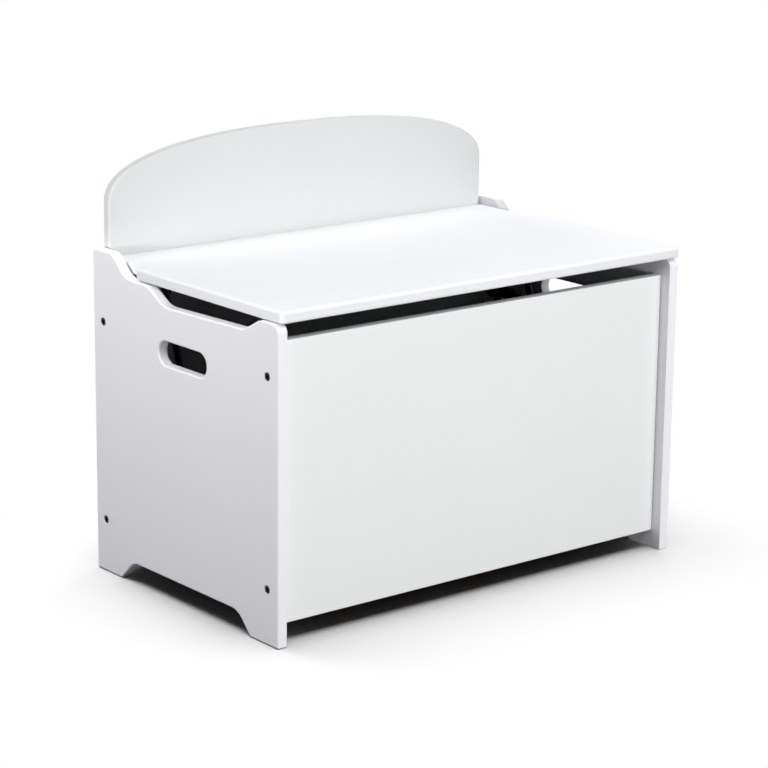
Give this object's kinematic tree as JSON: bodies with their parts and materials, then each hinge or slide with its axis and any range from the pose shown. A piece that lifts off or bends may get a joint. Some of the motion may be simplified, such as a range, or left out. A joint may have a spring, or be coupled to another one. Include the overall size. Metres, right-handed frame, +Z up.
{
  "type": "toy box",
  "caption": "Bench-style wooden toy box with scooped side panels, hand slots, an arched backrest and a lifting seat lid held by friction stays.",
  "frame": {"origin": "under the middle of the box's bounding box, on the surface that the feet stand on", "axes": "+X to the right seen from the front, +Y to the back, so the front faces -Y, +Z up"},
  "size_m": [0.68, 0.415, 0.5835],
  "materials": {
    "side_paint": "smooth satin white lacquer on 15 mm fibreboard",
    "front_paint": "smooth satin white lacquer on 15 mm fibreboard",
    "backrest_paint": "smooth satin white lacquer on 15 mm fibreboard",
    "lid_paint": "smooth satin white lacquer on 15 mm fibreboard",
    "floor_paint": "matt white melamine on 9 mm board",
    "raw_wood": "bare softwood and beech",
    "dark_steel": "black-oxide steel",
    "zinc_steel": "bright zinc plate",
    "nylon": "natural nylon",
    "grey_plastic": "fine-textured moulding",
    "clear_rubber": "soft translucent pad"
  },
  "bodies": {
    "case": {"left_side_panel": "side_paint", "right_side_panel": "side_paint", "front_panel": "front_paint", "back_panel": "front_paint", "backrest": "backrest_paint", "floor_panel": "floor_paint", "front_cleat": "raw_wood", "rear_cleat": "raw_wood", "panel_bolts": "dark_steel", "barrel_nuts": "zinc_steel", "dowels": "raw_wood", "backrest_screws": "zinc_steel", "cleat_screws": "zinc_steel", "floor_screws": "zinc_steel", "stay_screws": "dark_steel", "left_pivot_bush": "nylon", "right_pivot_bush": "nylon", "left_stay_base": "dark_steel", "right_stay_base": "dark_steel", "left_stay_cap": "grey_plastic", "right_stay_cap": "grey_plastic"},
    "lid": {"lid": "lid_paint", "lid_bumpers": "clear_rubber", "bracket_screws": "dark_steel", "left_pivot_pin": "zinc_steel", "right_pivot_pin": "zinc_steel", "left_stay_bracket": "dark_steel", "right_stay_bracket": "dark_steel"},
    "left_lever": {"left_stay_rotor": "dark_steel", "left_stay_lever": "dark_steel", "left_lever_screw": "dark_steel", "left_stay_rivet": "dark_steel"},
    "left_link": {"left_stay_link": "dark_steel"},
    "right_lever": {"right_stay_rotor": "dark_steel", "right_stay_lever": "dark_steel", "right_lever_screw": "dark_steel", "right_stay_rivet": "dark_steel"},
    "right_link": {"right_stay_link": "dark_steel"}
  },
  "joints": [
    {"name": "lid_hinge", "type": "hinge", "parent": "case", "child": "lid", "pos_m": [0, 0.18133, 0.4245], "axis": [-1, 0, 0], "range_deg": [0, 90]},
    {"name": "left_lever_pivot", "type": "hinge", "parent": "case", "child": "left_lever", "pos_m": [-0.31, 0.14833, 0.3195], "axis": [-1, 0, 0], "range_deg": [0, 90]},
    {"name": "left_link_pivot", "type": "hinge", "parent": "left_lever", "child": "left_link", "pos_m": [-0.307, 0.05333, 0.2995], "axis": [-1, 0, 0], "range_deg": [-90, 0]},
    {"name": "right_lever_pivot", "type": "hinge", "parent": "case", "child": "right_lever", "pos_m": [0.31, 0.14833, 0.3195], "axis": [-1, 0, 0], "range_deg": [0, 90]},
    {"name": "right_link_pivot", "type": "hinge", "parent": "right_lever", "child": "right_link", "pos_m": [0.307, 0.05333, 0.2995], "axis": [-1, 0, 0], "range_deg": [-90, 0]}
  ],
  "couplings": [
    {"joint": "left_lever_pivot", "follows": "lid_hinge", "ratio": 1},
    {"joint": "left_link_pivot", "follows": "lid_hinge", "ratio": -1},
    {"joint": "right_lever_pivot", "follows": "lid_hinge", "ratio": 1},
    {"joint": "right_link_pivot", "follows": "lid_hinge", "ratio": -1}
  ]
}
